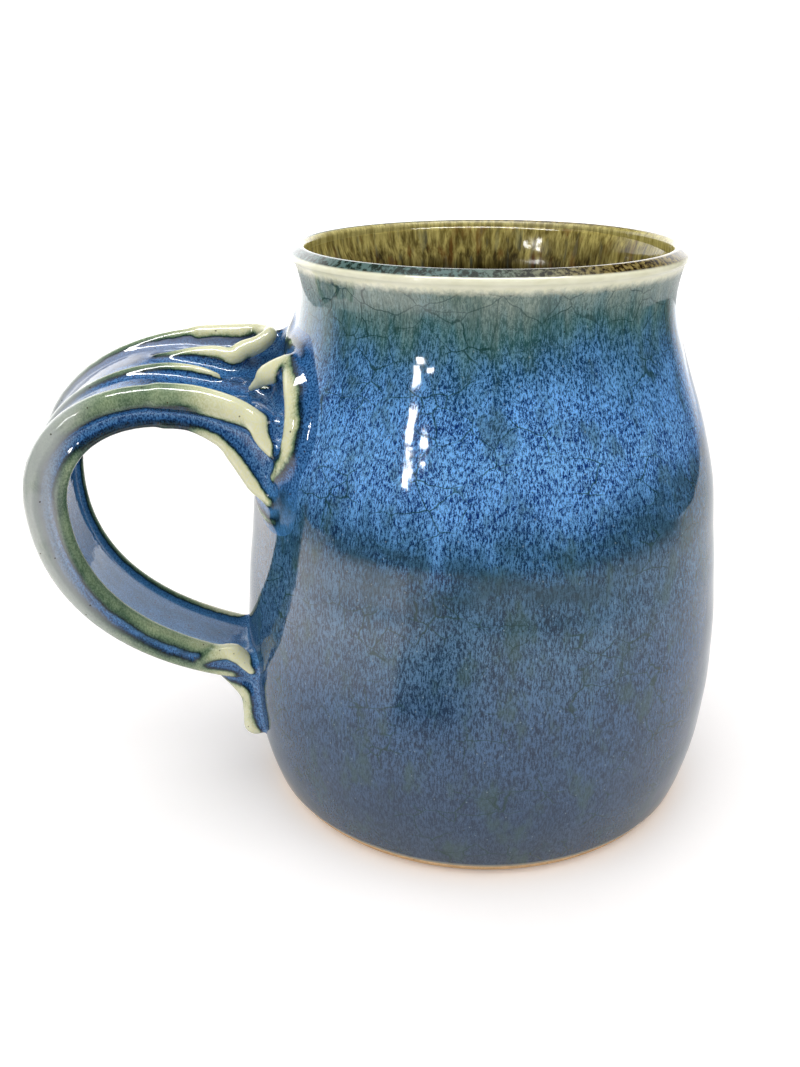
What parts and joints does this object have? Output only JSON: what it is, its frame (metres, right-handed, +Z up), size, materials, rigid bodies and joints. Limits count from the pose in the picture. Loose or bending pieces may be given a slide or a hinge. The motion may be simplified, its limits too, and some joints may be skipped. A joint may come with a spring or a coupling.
{
  "type": "shaving mug",
  "caption": "Barrel-bellied stoneware mug with a flared lip, a bare clay foot and a ridged strap handle, for working up shaving lather with a brush.",
  "frame": {"origin": "centre of the foot, on the table", "axes": "+Z up along the mug's axis; the handle lies along -X, so X-Z is the plane through the handle"},
  "size_m": [0.1401, 0.1, 0.114],
  "materials": {
    "bare_stoneware": "unglazed, smooth, matt",
    "handle_clay": "unglazed, under the glaze",
    "fired_slip": "unglazed, under the handle",
    "blue_glaze": "high gloss, streaked and speckled",
    "handle_glaze": "high gloss, breaking pale on the ridges",
    "olive_glaze": "high gloss, streaked"
  },
  "bodies": {
    "root": {"thrown_body": "bare_stoneware", "pulled_handle": "handle_clay", "upper_slip_joint": "fired_slip", "lower_slip_joint": "fired_slip", "outside_glaze": "blue_glaze", "handle_glaze": "handle_glaze", "liner_glaze": "olive_glaze"}
  },
  "joints": []
}
